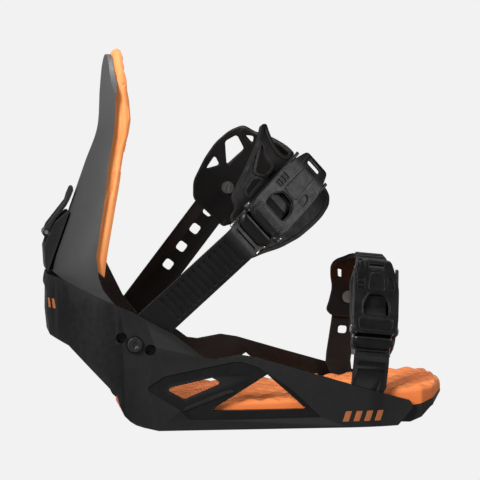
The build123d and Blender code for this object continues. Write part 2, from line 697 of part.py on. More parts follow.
def strap_screw_and_nut(plane, centre, inner_face, outer_face):
    """Low screw with its head on the foot side, and its flanged nut on the outside."""
    screw = side_pin(plane, centre, 4.6, inner_face - 2, inner_face - 0.1)
    screw += side_pin(plane, centre, 2.5, inner_face - 0.1, outer_face + 2.6)
    screw -= side_slot(plane, centre, 6, 1.2, 30, inner_face - 3, inner_face - 1.1)
    nut = side_pin(plane, centre, 5.2, outer_face + 0.1, outer_face + 2.8)
    nut -= side_pin(plane, centre, 2.5 + RUN, outer_face - 1, outer_face + 5)
    return screw, nut


ankle_screw, ankle_nut = strap_screw_and_nut(REACH, ANKLE_SCREW, PAD_LAYER - PAD_T / 2, ANKLE_LAYER)
save(ankle_screw, "ankle_strap_screw")
save(ankle_nut, "ankle_strap_nut")

# toe adjusting strap
TOE_STRAP_OUTLINE = [
    (0, 8), (12, 14.5), (20, 14.8), (46, 13.6), (70, 13.2), (75, 9), (75, -2), (70, -5.6), (46, -5.2),
    (16, -4.4), (0, -8),
]
TOE_SCREW_AT = (66.0, 4.0)
toe_adjusting_strap = side_prism(TOE, TOE_STRAP_OUTLINE, TOE_ROOT, TOE_LAYER)
toe_adjusting_strap += side_pin(TOE, (0, 0), TOE_TONGUE_R, TOE_ROOT, TOE_LAYER)
for s in (39.5, 54.0):
    toe_adjusting_strap -= rounded_hole(TOE, (s, 4.5), 6.2, 7.2, 0, 80)
toe_adjusting_strap -= side_pin(TOE, (0, 0), TOE_SCREW_R + RUN, 0, 80)
toe_adjusting_strap -= side_pin(TOE, TOE_SCREW_AT, 2.6, 0, 80)
save(toe_adjusting_strap, "toe_adjusting_strap")

# toe cap
CAP_LAYER = TOE_ROOT - SLIP - PAD_T / 2
TOE_ARCH = [
    (-CAP_LAYER, 15), *flank(CAP_LAYER, TOE_LAYER_MID, TOE_CORNER, TOE_CLIMB, 64.0), (4, 103), (29, 98),
    (CAP_LAYER, 78), (CAP_LAYER, 46),
]
CAP_NEAR = [
    (31, 12), (38, 14), (60, 16), (84, 16.5), (97, 16), (102, 11), (120, 7), (120, -15), (102, -14),
    (95, -18), (84, -21), (60, -21), (40, -18), (31, -14),
]
CAP_FAR = [
    (50, 15), (54, 19.7), (61, 18), (72, 16.6), (80, 19.5), (89, 21.5), (95, 19), (99, 15), (102, 11),
    (120, 7), (120, -15), (102, -14), (90, -16), (72, -8), (50, -6),
]
CAP_SLIT = [(88.5, 15.5), (88, 12.7), (80, 11), (80.8, 13.4)]
with BuildPart() as toe_cap:
    add(arch_band(TOE, TOE_ARCH, 13, PAD_T, -24, 22.5))
    add(side_prism(TOE, CAP_NEAR, -60, 0) + side_prism(TOE, CAP_FAR, 0, 60), mode=Mode.INTERSECT)
    add(side_prism(TOE, CAP_SLIT, 12, 60), mode=Mode.SUBTRACT)
    add(side_pin(TOE, TOE_SCREW_AT, 2.55, 5, 60), mode=Mode.SUBTRACT)
toe_screw, toe_nut = strap_screw_and_nut(TOE, TOE_SCREW_AT, CAP_LAYER - PAD_T / 2, TOE_LAYER)
save(toe_screw, "toe_cap_screw")
save(toe_nut, "toe_cap_nut")


# ================= ratchet buckles =================
RIVETS_T = (3.5, 51.5)
RIVET_R = 1.5
EAR_OUT = EAR_IN + EAR_T
WINDOW_HALF = 9.8


def both_ears(plane, points):
    """The same side outline in both ears of the channel."""
    ears = side_prism(plane, points, -EAR_OUT, -EAR_IN)
    return ears + side_prism(plane, points, EAR_IN, EAR_OUT)


SPRING_R = 1.95  # coil centre line
WIRE_R = 0.32


def coil(plane, centre, y_from, y_to):
    """Torsion spring wound round a pin."""
    turns = 4
    length = y_to - y_from
    start = plane.from_local_coords((centre[0], centre[1], -y_to))
    with BuildPart() as spring:
        with BuildLine():
            wire = Helix(
                pitch=length / turns, height=length, radius=SPRING_R, center=start,
                direction=plane.z_dir,
            )
        with BuildSketch(Plane(origin=wire @ 0, z_dir=wire % 0)):
            Circle(WIRE_R)
        sweep(is_frenet=True)
    return spring.part


def ratchet(name, buckle, length):
    """All pieces of one buckle."""
    side = buckle_side(buckle)
    axle_at = (AXLE_T, AXLE_N)
    pawl_at = (PAWL_PIN_T, PAWL_PIN_N)
    release_at = (RELEASE_T, RELEASE_N)

    with BuildPart() as channel:
        add(side_prism(side, [(0, 0), (55, 0), (55, CHANNEL_T), (0, CHANNEL_T)], -EAR_OUT, EAR_OUT))
        add(both_ears(side, [(4, 0), (53, 0), (51, 5.4), (6, 6.0)]))
        add(both_ears(side, [(12.6, 3), (21.4, 3), (20, 9.5), (14, 9.5)]))
        add(both_ears(side, [(37, 3), (49, 3), (46.6, 10.6), (39.4, 10.6)]))
        for centre, radius, bore in [(axle_at, 3.6, AXLE_R), (release_at, 3.6, PIN_R)]:
            add(side_pin(side, centre, radius, -EAR_OUT, -EAR_IN))
            add(side_pin(side, centre, radius, EAR_IN, EAR_OUT))
            add(side_pin(side, centre, bore + RUN, -30, 30), mode=Mode.SUBTRACT)
        for t in RIVETS_T:
            with BuildSketch(Plane(origin=buckle.from_local_coords((t, 0, 0)), z_dir=buckle.z_dir)):
                Circle(RIVET_R + RUN)
            extrude(amount=CHANNEL_T, taper=-45, mode=Mode.SUBTRACT)
    save(channel.part, f"{name}_buckle_channel")

    # cover clipped over the ears, where the ladder enters
    cover_side = [(3.5, 2), (11, 2), (11, 11.6), (8, 11), (4.5, 9), (3.5, 7.6)]
    passage = [(0, 0), (14, 0), (14, 6.4), (0, 6.4)]
    with BuildPart() as ladder_cover:
        add(side_prism(side, cover_side, -COVER_HALF, COVER_HALF))
        add(side_prism(side, passage, -EAR_OUT - RUN, EAR_OUT + RUN), mode=Mode.SUBTRACT)
    save(ladder_cover.part, f"{name}_ladder_cover")

    with BuildPart() as rivets:
        for t in RIVETS_T:
            foot = Plane(origin=buckle.from_local_coords((t, 0, -PAD_T - 1.2)), z_dir=buckle.z_dir)
            with BuildSketch(foot):
                Circle(3.2)
            extrude(amount=1.1)
            with BuildSketch(foot):
                Circle(RIVET_R)
            extrude(amount=PAD_T + 1.2)
            with BuildSketch(foot.offset(PAD_T + 1.2)):
                Circle(RIVET_R)
            extrude(amount=CHANNEL_T - 0.05, taper=-45)
    save(rivets.part, f"{name}_buckle_rivets")

    with BuildPart() as axle:
        add(side_pin(side, axle_at, AXLE_R, -LEVER_HALF - 0.1, LEVER_HALF + 0.1))
        add(side_pin(side, axle_at, 2.7, -LEVER_HALF - 1, -LEVER_HALF - 0.1))
        add(side_pin(side, axle_at, 2.7, LEVER_HALF + 0.1, LEVER_HALF + 1))
    save(axle.part, f"{name}_lever_axle")

    with BuildPart() as release_pin:
        add(side_pin(side, release_at, PIN_R, -EAR_OUT, EAR_OUT))
    save(release_pin.part, f"{name}_release_pin")

    pawl_outline = [
        (25, 9.6), (18.6, 5.8), (16, 5.8), (16, 6.6), (21.6, 10.6), (22, 12.5), (24, 13.4), (25.6, 11.8),
    ]
    with BuildPart() as drive_pawl:
        add(side_prism(side, pawl_outline, -PAWL_HALF, PAWL_HALF))
        add(side_pin(side, pawl_at, 2.3, -PAWL_HALF, PAWL_HALF))
        add(side_pin(side, pawl_at, PIN_R + RUN, -20, 20), mode=Mode.SUBTRACT)
    save(drive_pawl.part, f"{name}_drive_pawl")

    with BuildPart() as pawl_pin:
        add(side_pin(side, pawl_at, PIN_R, -LEVER_IN - 1.2, LEVER_IN + 1.2))
    save(pawl_pin.part, f"{name}_pawl_pin")

    release_outline = [
        (43, 6.5), (34, 6.6), (31.5, 5.8), (29.6, 5.8), (29, 7.6), (27.4, 8.4), (27.2, 11.2), (28.4, 12.2),
        (31, 11.6), (36, 10.4), (43, 11.5),
    ]
    with BuildPart() as release_lever:
        add(side_prism(side, release_outline, -PAWL_HALF + 0.8, PAWL_HALF - 0.8))
        add(side_pin(side, release_at, 2.6, -PAWL_HALF + 0.8, PAWL_HALF - 0.8))
        add(side_pin(side, release_at, PIN_R + RUN, -20, 20), mode=Mode.SUBTRACT)
    save(release_lever.part, f"{name}_release_lever")

    save(coil(side, pawl_at, PAWL_HALF + 0.5, EAR_IN - 0.5), f"{name}_drive_spring")
    save(coil(side, release_at, PAWL_HALF - 0.2, EAR_IN - 0.5), f"{name}_release_spring")

    # lever: two cheeks outside the channel, a hood over the axle and the grip plate
    cheek = [
        (12.6, 9), (13.0, 13.6), (15.4, 15.4), (24, 16.6), (length - 8, 15.6), (length - 6, 12.6),
        (46, 11.6), (32, 8.8), (21, 6.6),
    ]
    plate_plan = [
        (13.4, -15), (22, -LEVER_HALF), (length - 22, -LEVER_HALF), (length - 8, -13.4), (length - 2, -12),
        (length, -10), (length, 10), (length - 2, 12), (length - 8, 13.4), (length - 22, LEVER_HALF),
        (22, LEVER_HALF), (13.4, 15),
    ]
    shell_side = [
        (13.2, 14.2), (15.4, 15.6), (24, 16.6), (44, 17.2), (length - 14, 16.6), (length - 1, 14.4),
        (length, 12.4), (length - 2, 11.6), (length - 14, 13.2), (44, 14.2),
    ]
    plan = Plane(origin=buckle.origin, x_dir=buckle.x_dir, z_dir=buckle.z_dir)
    with BuildPart() as plan_prism:
        with BuildSketch(plan):
            with BuildLine():
                Polyline(*plate_plan, close=True)
            make_face()
        extrude(amount=30)
    with BuildPart() as openings:
        with BuildSketch(plan):
            with Locations((31, 0)):
                Rectangle(9, 2 * WINDOW_HALF)
            with Locations((35, 0)):
                Ellipse(8.6, WINDOW_HALF)
            with Locations((length - 6.4, 0)):
                SlotOverall(12.5, 4, rotation=90)
        extrude(amount=30)
    with BuildPart() as lever:
        add(side_prism(side, cheek, -LEVER_HALF, -LEVER_IN))
        add(side_prism(side, cheek, LEVER_IN, LEVER_HALF))
        add(side_prism(side, shell_side, -LEVER_HALF, LEVER_HALF))
        add(plan_prism.part, mode=Mode.INTERSECT)
        add(openings.part, mode=Mode.SUBTRACT)
        add(side_pin(side, axle_at, AXLE_R + RUN, -30, 30), mode=Mode.SUBTRACT)
        add(side_pin(side, pawl_at, PIN_R + RUN, -LEVER_IN - 1.4, LEVER_IN + 1.4), mode=Mode.SUBTRACT)
        for index in range(3):
            t = 47 + 3.6 * index
            add(
                side_prism(side, [(t, 12), (t + 1.8, 12), (t + 1.8, 20), (t, 20)], 10.4, 14.4),
                mode=Mode.SUBTRACT,
            )
    save(lever.part, f"{name}_ratchet_lever")


def rivet_bores(buckle):
    """Bores for a buckle's rivets through the pad below it."""
    with BuildPart() as bores:
        for t in RIVETS_T:
            with BuildSketch(Plane(origin=buckle.from_local_coords((t, 0, 2)), z_dir=buckle.z_dir)):
                Circle(RIVET_R + RUN)
            extrude(amount=-12)
    return bores.part


ankle_buckle = buckle_frame(ANKLE, ANKLE_LAYER_MID, ANKLE_CORNER, ANKLE_CLIMB, ANKLE_START)
toe_buckle = buckle_frame(TOE, TOE_LAYER_MID, TOE_CORNER, TOE_CLIMB, TOE_START)
save(ankle_pad.part - rivet_bores(ankle_buckle), "ankle_pad")
save(toe_cap.part - rivet_bores(toe_buckle), "toe_cap")
ratchet("ankle", ankle_buckle, 85.0)
ratchet("toe", toe_buckle, 71.0)
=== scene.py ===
"""Looks of the snowboard strap binding: soft parts, moulded pieces and materials over the CAD frame.

Blender works in metres; the shape tables below are in millimetres, in the strap frames of the CAD.
"""

import json
import math

import bmesh
import bpy
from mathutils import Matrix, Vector


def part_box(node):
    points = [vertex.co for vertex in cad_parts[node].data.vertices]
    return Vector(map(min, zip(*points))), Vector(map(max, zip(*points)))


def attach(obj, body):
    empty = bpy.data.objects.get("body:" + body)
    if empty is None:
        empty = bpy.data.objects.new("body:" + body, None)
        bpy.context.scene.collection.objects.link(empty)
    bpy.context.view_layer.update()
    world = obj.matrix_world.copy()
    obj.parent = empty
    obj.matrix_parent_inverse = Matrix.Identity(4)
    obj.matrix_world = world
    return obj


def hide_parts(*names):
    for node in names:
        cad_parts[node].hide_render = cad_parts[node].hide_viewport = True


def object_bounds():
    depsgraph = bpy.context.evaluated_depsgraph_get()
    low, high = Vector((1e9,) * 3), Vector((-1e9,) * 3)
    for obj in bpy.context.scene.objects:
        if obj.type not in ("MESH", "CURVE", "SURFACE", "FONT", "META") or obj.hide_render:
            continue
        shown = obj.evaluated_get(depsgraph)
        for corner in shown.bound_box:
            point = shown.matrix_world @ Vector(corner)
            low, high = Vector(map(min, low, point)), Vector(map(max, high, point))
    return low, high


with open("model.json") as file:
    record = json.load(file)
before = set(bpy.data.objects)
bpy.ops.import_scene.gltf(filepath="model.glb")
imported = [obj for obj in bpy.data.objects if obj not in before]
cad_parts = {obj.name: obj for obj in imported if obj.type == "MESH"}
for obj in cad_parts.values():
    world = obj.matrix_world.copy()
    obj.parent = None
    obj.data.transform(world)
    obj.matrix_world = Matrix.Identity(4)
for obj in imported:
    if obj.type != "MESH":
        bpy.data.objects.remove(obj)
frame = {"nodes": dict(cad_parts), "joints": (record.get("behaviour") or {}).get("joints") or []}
cad_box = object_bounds()
NODES = frame["nodes"]
JOINTS = {joint["name"]: joint for joint in frame["joints"]}
MM = 0.001


# ---------------------------------------------------------------- strap frames
class Lean:
    """Side-view frame of a strap: s up the strap, h to the heel side, y across the foot."""

    def __init__(self, origin, heel):
        self.origin = Vector((origin[0], 0, origin[2])) / MM
        self.heel = Vector(heel).normalized()
        self.up = Vector((self.heel.z, 0, -self.heel.x))

    def point(self, s, h, y):
        return (self.origin + self.up * s + self.heel * h + Vector((0, y, 0))) * MM


class Buckle:
    """Frame of a ratchet buckle: t up the buckle, w across it to the toe side, n out of it."""

    AXLE = (17.0, 10.4)
    RELEASE = (43.0, 9.0)

    def __init__(self, prefix):
        axle = Vector(JOINTS[prefix + "_lever_lift"]["pos_m"]) / MM
        release = Vector(JOINTS[prefix + "_release_lift"]["pos_m"]) / MM
        self.w = Vector(JOINTS[prefix + "_lever_lift"]["axis"]).normalized()
        dt = self.RELEASE[0] - self.AXLE[0]
        dn = self.RELEASE[1] - self.AXLE[1]
        turned = self.w.cross(release - axle)
        self.t = ((release - axle) * dt - turned * dn).normalized()
        self.n = self.w.cross(self.t)
        self.origin = axle - self.t * self.AXLE[0] - self.n * self.AXLE[1]

    def point(self, t, w, n):
        return (self.origin + self.t * t + self.w * w + self.n * n) * MM


def heel_axis(prefix):
    return [-c for c in JOINTS[prefix + "_lever_lift"]["axis"]]


ANKLE = Lean(JOINTS["ankle_strap_swing"]["pos_m"], heel_axis("ankle"))
TOE = Lean(JOINTS["toe_strap_swing"]["pos_m"], heel_axis("toe"))
ANKLE_BUCKLE = Buckle("ankle")
TOE_BUCKLE = Buckle("toe")


# ---------------------------------------------------------------- materials
def new_material(name):
    material = bpy.data.materials.new(name)
    material.use_nodes = True
    tree = material.node_tree
    tree.nodes.clear()
    out = tree.nodes.new("ShaderNodeOutputMaterial")
    shader = tree.nodes.new("ShaderNodeBsdfPrincipled")
    tree.links.new(shader.outputs[0], out.inputs["Surface"])
    return material, tree, shader


def noise(tree, scale, detail=3.0):
    node = tree.nodes.new("ShaderNodeTexNoise")
    node.inputs["Scale"].default_value = scale
    node.inputs["Detail"].default_value = detail
    place = tree.nodes.new("ShaderNodeTexCoord").outputs["Object"]
    tree.links.new(place, node.inputs["Vector"])
    return node.outputs["Fac"]


def ramp(tree, source, stops):
    node = tree.nodes.new("ShaderNodeValToRGB")
    elements = node.color_ramp.elements
    while len(elements) < len(stops):
        elements.new(0.5)
    for element, (place, colour) in zip(elements, stops):
        element.position = place
        element.color = (*colour, 1)
    tree.links.new(source, node.inputs["Fac"])
    return node.outputs["Color"]


def grey(value):
    return (value, value, value)


def mix_colour(tree, factor, a, b):
    node = tree.nodes.new("ShaderNodeMix")
    node.data_type = "RGBA"
    for socket, value in ((node.inputs[0], factor), (node.inputs[6], a), (node.inputs[7], b)):
        if isinstance(value, bpy.types.NodeSocket):
            tree.links.new(value, socket)
        elif isinstance(value, tuple):
            socket.default_value = (*value, 1)
        else:
            socket.default_value = value
    return node.outputs[2]


def sharpness(tree, low, high):
    """0 up to one reading of the surface's pointiness and 1 from another: hollows are low, edges high."""
    source = tree.nodes.new("ShaderNodeNewGeometry").outputs["Pointiness"]
    return ramp(tree, source, [(low, grey(0.0)), (high, grey(1.0))])


def patchy_roughness(tree, shader, scale, low, high):
    patch = ramp(tree, noise(tree, scale), [(0.3, grey(low)), (0.7, grey(high))])
    tree.links.new(patch, shader.inputs["Roughness"])


def bump(tree, shader, height, strength, distance):
    node = tree.nodes.new("ShaderNodeBump")
    node.inputs["Strength"].default_value = strength
    node.inputs["Distance"].default_value = distance
    tree.links.new(height, node.inputs["Height"])
    tree.links.new(node.outputs["Normal"], shader.inputs["Normal"])


def moulded(name, dark, light, rough, grain=2600.0, relief=0.10):
    """Satin moulded plastic: mottled tone, edges painted paler as a painted highlight, and a fine
    spark-eroded grain.
    """
    material, tree, shader = new_material(name)
    tone = ramp(tree, noise(tree, 60.0), [(0.35, dark), (0.7, light)])
    # painted highlight: sharp edges get a paler colour that stands in for the light they catch
    painted_edge_highlight = tuple(c * 2.2 + 0.011 for c in light)
    colour = mix_colour(tree, sharpness(tree, 0.515, 0.57), tone, painted_edge_highlight)
    tree.links.new(colour, shader.inputs["Base Color"])
    shader.inputs["Specular IOR Level"].default_value = 0.32
    patchy_roughness(tree, shader, 220.0, rough - 0.05, rough + 0.07)
    bump(tree, shader, noise(tree, grain, 2.0), relief, 0.00012)
    return material


def foam(name, base, mottle_and_hollow_shade, glow=0.0):
    """Moulded EVA foam: painted shade in the hollows, a fine closed-cell pore, and an optional painted
    glow in its own colour.
    """
    material, tree, shader = new_material(name)
    tone = ramp(tree, noise(tree, 45.0), [(0.3, mottle_and_hollow_shade), (0.62, base)])
    # painted shade: the hollows get the darker colour, which is also used in the random mottle
    colour = mix_colour(tree, sharpness(tree, 0.44, 0.5), mottle_and_hollow_shade, tone)
    tree.links.new(colour, shader.inputs["Base Color"])
    shader.inputs["Roughness"].default_value = 0.68
    shader.inputs["Sheen Weight"].default_value = 0.12
    # painted glow: emission in the foam's own colour brightens it like light falling on it
    shader.inputs["Emission Color"].default_value = (*base, 1)
    shader.inputs["Emission Strength"].default_value = glow
    bump(tree, shader, noise(tree, 1500.0, 4.0), 0.22, 0.00025)
    return material


def steel(name, tone, rough):
    """Plated steel with fine scratches."""
    material, tree, shader = new_material(name)
    shader.inputs["Metallic"].default_value = 1.0
    scratched = ramp(tree, noise(tree, 500.0), [(0.3, grey(tone * 0.8)), (0.7, grey(tone))])
    tree.links.new(scratched, shader.inputs["Base Color"])
    patchy_roughness(tree, shader, 900.0, rough, rough + 0.15)
    bump(tree, shader, noise(tree, 3000.0, 2.0), 0.08, 0.0001)
    return material


def shell_plastic():
    """Highback shell: smooth grey with a painted sheen: the base colour is painted darker at the bottom
    and paler towards the top of the back.
    """
    material, tree, shader = new_material("shell_plastic")
    place = tree.nodes.new("ShaderNodeSeparateXYZ")
    tree.links.new(tree.nodes.new("ShaderNodeTexCoord").outputs["Object"], place.inputs[0])
    low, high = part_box("highback_shell")
    painted_sheen_rise = tree.nodes.new("ShaderNodeMapRange")
    painted_sheen_rise.inputs["From Min"].default_value = low.z
    painted_sheen_rise.inputs["From Max"].default_value = high.z
    tree.links.new(place.outputs["Z"], painted_sheen_rise.inputs["Value"])
    # painted sheen: the grey gets paler with height up the shell
    tone = ramp(
        tree, painted_sheen_rise.outputs["Result"],
        [(0.0, grey(0.02)), (0.3, grey(0.05)), (0.8, grey(0.085)), (1.0, grey(0.12))],
    )
    tree.links.new(tone, shader.inputs["Base Color"])
    patchy_roughness(tree, shader, 120.0, 0.42, 0.5)
    bump(tree, shader, noise(tree, 2200.0, 2.0), 0.08, 0.0001)
    return material


BLACK = moulded("black_plastic", grey(0.0035), grey(0.006), 0.46)
LADDER = moulded("ladder_plastic", grey(0.004), grey(0.0065), 0.38)
RUBBER = moulded("strap_rubber", grey(0.004), grey(0.0065), 0.5, grain=1800.0, relief=0.16)
BUCKLE = moulded("buckle_plastic", grey(0.004), grey(0.007), 0.34)
ORANGE = foam("orange_foam", (0.95, 0.29, 0.07), (0.8, 0.19, 0.035))
# pad_foam: a lighter copy of the orange foam with a painted glow (0.22), painted light standing in for
# the light on the pad
PAD_ORANGE = foam("pad_foam", (1.0, 0.385, 0.125), (0.95, 0.28, 0.075), 0.22)
SHELL = shell_plastic()
STEEL = steel("zinc_steel", 0.6, 0.28)
DARK_STEEL = steel("black_steel", 0.09, 0.34)
# the printed marks share the foam's soft, slightly uneven surface
MARK = foam("printed_mark", (0.42, 0.12, 0.03), (0.36, 0.1, 0.025))


def paint(obj, material):
    obj.data.materials.clear()
    obj.data.materials.append(material)


# ---------------------------------------------------------------- mesh helpers
SMOOTH_ANGLE = math.radians(38)


def finish_piece(name, bm, material, body):
    """Smooth-shaded piece that rides on a body."""
    bmesh.ops.recalc_face_normals(bm, faces=bm.faces)
    for face in bm.faces:
        face.smooth = True
    for edge in bm.edges:
        edge.smooth = edge.is_manifold and edge.calc_face_angle(0.0) < SMOOTH_ANGLE
    mesh = bpy.data.meshes.new(name)
    bm.to_mesh(mesh)
    bm.free()
    piece = bpy.data.objects.new(name, mesh)
    bpy.context.scene.collection.objects.link(piece)
    paint(piece, material)
    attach(piece, body)
    return piece


def soften(node, width):
    """Rounded moulded edges on a CAD node."""
    weld = node.modifiers.new("weld", "WELD")
    weld.merge_threshold = 1e-5
    flat = node.modifiers.new("flat", "DECIMATE")
    flat.decimate_type = "DISSOLVE"
    flat.angle_limit = math.radians(1.5)
    bevel = node.modifiers.new("edges", "BEVEL")
    bevel.width = width * MM
    bevel.segments = 2
    bevel.limit_method = "ANGLE"
    bevel.angle_limit = math.radians(32)
    bevel.use_clamp_overlap = True
    normals = node.modifiers.new("normals", "WEIGHTED_NORMAL")
    normals.keep_sharp = True


CORNER_SHARE = 0.45  # most of a side that one rounded corner may take
CORNER_STEPS = 5
ARCH_STEPS = 8


def corner_arc(before, here, after, radius, steps):
    """Points of the curve that rounds the corner between two neighbours."""
    back, ahead = before - here, after - here
    reach = min(radius, back.length * CORNER_SHARE, ahead.length * CORNER_SHARE)
    a = here + back.normalized() * reach
    b = here + ahead.normalized() * reach
    arc = []
    for k in range(steps + 1):
        u = k / steps
        arc.append(a * (1 - u) ** 2 + here * (2 * u * (1 - u)) + b * u * u)
    return arc


def rounded(points, radius):
    """Closed outline with its corners rounded."""
    result = []
    count = len(points)
    for i in range(count):
        before, here, after = (Vector(points[k % count][:2]) for k in (i - 1, i, i + 1))
        result += corner_arc(before, here, after, radius, CORNER_STEPS)
    return result


MITER_LIMIT = 0.4


def inset(points, amount):
    """Closed outline moved inwards by an amount."""
    area = sum(a[0] * b[1] - b[0] * a[1] for a, b in zip(points, points[1:] + points[:1]))
    turn = 1 if area > 0 else -1
    count = len(points)
    result = []
    for i in range(count):
        here = Vector(points[i][:2])
        before = (here - Vector(points[i - 1][:2])).normalized()
        after = (Vector(points[(i + 1) % count][:2]) - here).normalized()
        n1 = Vector((-before.y, before.x)) * turn
        n2 = Vector((-after.y, after.x)) * turn
        miter = (n1 + n2).normalized()
        result.append(here + miter * (amount / max(MITER_LIMIT, miter.dot(n1))))
    return result


def plate(bm, outline, holes, bottom, top, place, edge=0.5, cell=3.0):
    """Flat moulded plate with round edges, cut fine enough to bend, then put in place.

    place turns flat (a, b, height) in millimetres into a point in metres.
    """
    curve = bpy.data.curves.new("outline", "CURVE")
    curve.dimensions = "2D"
    curve.fill_mode = "BOTH"
    curve.bevel_depth = edge
    curve.bevel_resolution = 1
    curve.offset = -edge
    curve.extrude = (top - bottom) / 2 - edge
    for ring in [outline, *holes]:
        spline = curve.splines.new("POLY")
        spline.points.add(len(ring) - 1)
        for target, point in zip(spline.points, ring):
            target.co = (point[0], point[1], 0, 1)
        spline.use_cyclic_u = True
    holder = bpy.data.objects.new("outline", curve)
    mesh = bpy.data.meshes.new_from_object(holder)
    flat = bmesh.new()
    flat.from_mesh(mesh)
    bpy.data.objects.remove(holder)
    bpy.data.curves.remove(curve)
    bpy.data.meshes.remove(mesh)
    bmesh.ops.remove_doubles(flat, verts=flat.verts, dist=0.002)
    for axis in (0, 1):
        low = min(v.co[axis] for v in flat.verts)
        high = max(v.co[axis] for v in flat.verts)
        cuts = int((high - low) / cell)
        for k in range(1, cuts + 1):
            where = Vector((0, 0, 0))
            where[axis] = low + (high - low) * k / (cuts + 1)
            normal = Vector((0, 0, 0))
            normal[axis] = 1
            bmesh.ops.bisect_plane(
                flat, geom=[*flat.verts, *flat.edges, *flat.faces], plane_co=where, plane_no=normal
            )
    middle = (top + bottom) / 2
    for v in flat.verts:
        v.co = place(v.co.x, v.co.y, v.co.z + middle)
    carrier = bpy.data.meshes.new("carrier")
    flat.to_mesh(carrier)
    flat.free()
    bm.from_mesh(carrier)
    bpy.data.meshes.remove(carrier)


class Arch:
    """Path over the foot: p along it, with the point and outward direction at each p."""

    def __init__(self, corners, radius):
        corners = [Vector(corner) for corner in corners]
        dense = [corners[0]]
        for before, here, after in zip(corners, corners[1:], corners[2:]):
            dense += corner_arc(before, here, after, radius, ARCH_STEPS)
        dense.append(corners[-1])
        self.points = dense
        self.lengths = [0.0]
        for a, b in zip(dense, dense[1:]):
            self.lengths.append(self.lengths[-1] + (b - a).length)
        self.total = self.lengths[-1]

    def at(self, p):
        i = 0
        while i < len(self.points) - 2 and self.lengths[i + 1] < p:
            i += 1
        run = self.points[i + 1] - self.points[i]
        u = (p - self.lengths[i]) / max(run.length, 1e-6)
        direction = run.normalized()
        return self.points[i] + run * u, Vector((-direction.y, direction.x))

    def find(self, value, axis, far=False):
        """p where the path first (or, from the far end, last) reaches a height or a Y place."""
        order = range(len(self.points) - 1)
        for i in reversed(order) if far else order:
            a, b = self.points[i][axis], self.points[i + 1][axis]
            if min(a, b) <= value <= max(a, b) and a != b:
                part = (value - a) / (b - a)
                return self.lengths[i] + part * (self.lengths[i + 1] - self.lengths[i])
        return self.total if far else 0.0

    def near(self, points):
        """Outline points of the near leg, given by height up the strap, as (path, across)."""
        return [(self.find(s, 1), h) for s, h in points]

    def far(self, points):
        """The same for the far leg."""
        return [(self.find(s, 1, far=True), h) for s, h in points]

    def crown(self, points):
        """The same for the top of the arch, given by place across the foot."""
        return [(self.find(y, 0), h) for y, h in points]


def over_arch(lean, arch):
    def place(p, h, n):
        point, out = arch.at(p)
        return lean.point(point.y + out.y * n, h, point.x + out.x * n)

    return place


def from_table(table, x):
    """Straight-line reading of a table of (x, value) pairs."""
    for (x0, v0), (x1, v1) in zip(table, table[1:]):
        if x <= x1:
            return v0 + (v1 - v0) * max(0.0, (x - x0) / (x1 - x0))
    return table[-1][1]


def roll(distance, radius):
    """1 inside a round edge, falling to 0 on the edge itself."""
    if distance >= radius:
        return 1.0
    return math.sqrt(max(0.0, 1 - (1 - distance / radius) ** 2))


def closed_sheet(bm, rows, columns, upper, lower):
    """Closed form between two surfaces of (row, column) that meet in side walls."""
    def grid(surface):
        return [
            [bm.verts.new(Vector(surface(i / rows, j / columns)) * MM) for j in range(columns + 1)]
            for i in range(rows + 1)
        ]
    top, under = grid(upper), grid(lower)
    for i in range(rows):
        for j in range(columns):
            bm.faces.new((top[i][j], top[i + 1][j], top[i + 1][j + 1], top[i][j + 1]))
            bm.faces.new((under[i][j], under[i][j + 1], under[i + 1][j + 1], under[i + 1][j]))
    ring = [(i, 0) for i in range(rows)] + [(rows, j) for j in range(columns)]
    ring += [(i, columns) for i in range(rows, 0, -1)] + [(0, j) for j in range(columns, 0, -1)]
    for (i, j), (k, m) in zip(ring, ring[1:] + ring[:1]):
        bm.faces.new((top[i][j], under[i][j], under[k][m], top[k][m]))


# ---------------------------------------------------------------- footbed and toe pad
FOOT_TOP = [
    (-99, 15.5), (-88, 20.6), (20, 21.8), (70, 24.6), (95, 26), (119, 28.4), (137, 28.4), (148, 25.6),
]
FOOT_UNDER = [
    (-99, 8.2), (85.9, 8.2), (86.1, 12.4), (110.8, 12.4), (121, 14.6), (131, 17), (144.6, 19.8),
    (148, 21.6),
]
FOOT_NEAR = [
    (-99, -36), (-92, -45.2), (-15, -50.3), (40, -51.9), (57, -51.7), (62, -43.6), (101, -43.6),
    (121, -46), (131.5, -37), (143.2, -10), (148, 14),
]
FOOT_FAR = [
    (-99, 36), (-92, 45.2), (-15, 50.3), (40, 51.9), (57, 51.7), (62, 43.6), (101, 43.6), (120, 46),
    (141, 42.5), (147.4, 32), (148, 28),
]
FOOT_HEEL, FOOT_TOE = -99, 148
LENS = (15.0, 8.6)  # pitch of the foam's lens-shaped bumps
LENS_H = 2.3
LENS_ROUND = 1.6  # how blunt a lens is along its length
EDGE_CROWD = 0.45  # how far the mesh columns crowd towards the sides
THICK_FROM = 100  # where the thicker toe pad starts
HEEL_RIM, TOE_RIM = 3.0, 4.2


def lens_bump(x, y):
    """Height of staggered lens bumps, 0 to 1."""
    row = math.floor(y / LENS[1])
    across = (y / LENS[1] - row - 0.5) * 2
    along = ((x / LENS[0] + 0.5 * (row % 2)) % 1 - 0.5) * 2
    return max(0.0, 1 - (abs(along) ** LENS_ROUND + across * across))


def foot_place(i, j):
    """Place on the footbed and its distance from the nearest edge."""
    x = FOOT_HEEL + (FOOT_TOE - FOOT_HEEL) * i
    spread = 0.5 - 0.5 * math.cos(math.pi * j)
    part = (1 - EDGE_CROWD) * j + EDGE_CROWD * spread
    near, far = from_table(FOOT_NEAR, x), from_table(FOOT_FAR, x)
    y = near + (far - near) * part
    edge = min(y - near, far - y, x - FOOT_HEEL, FOOT_TOE - x)
    return x, y, edge


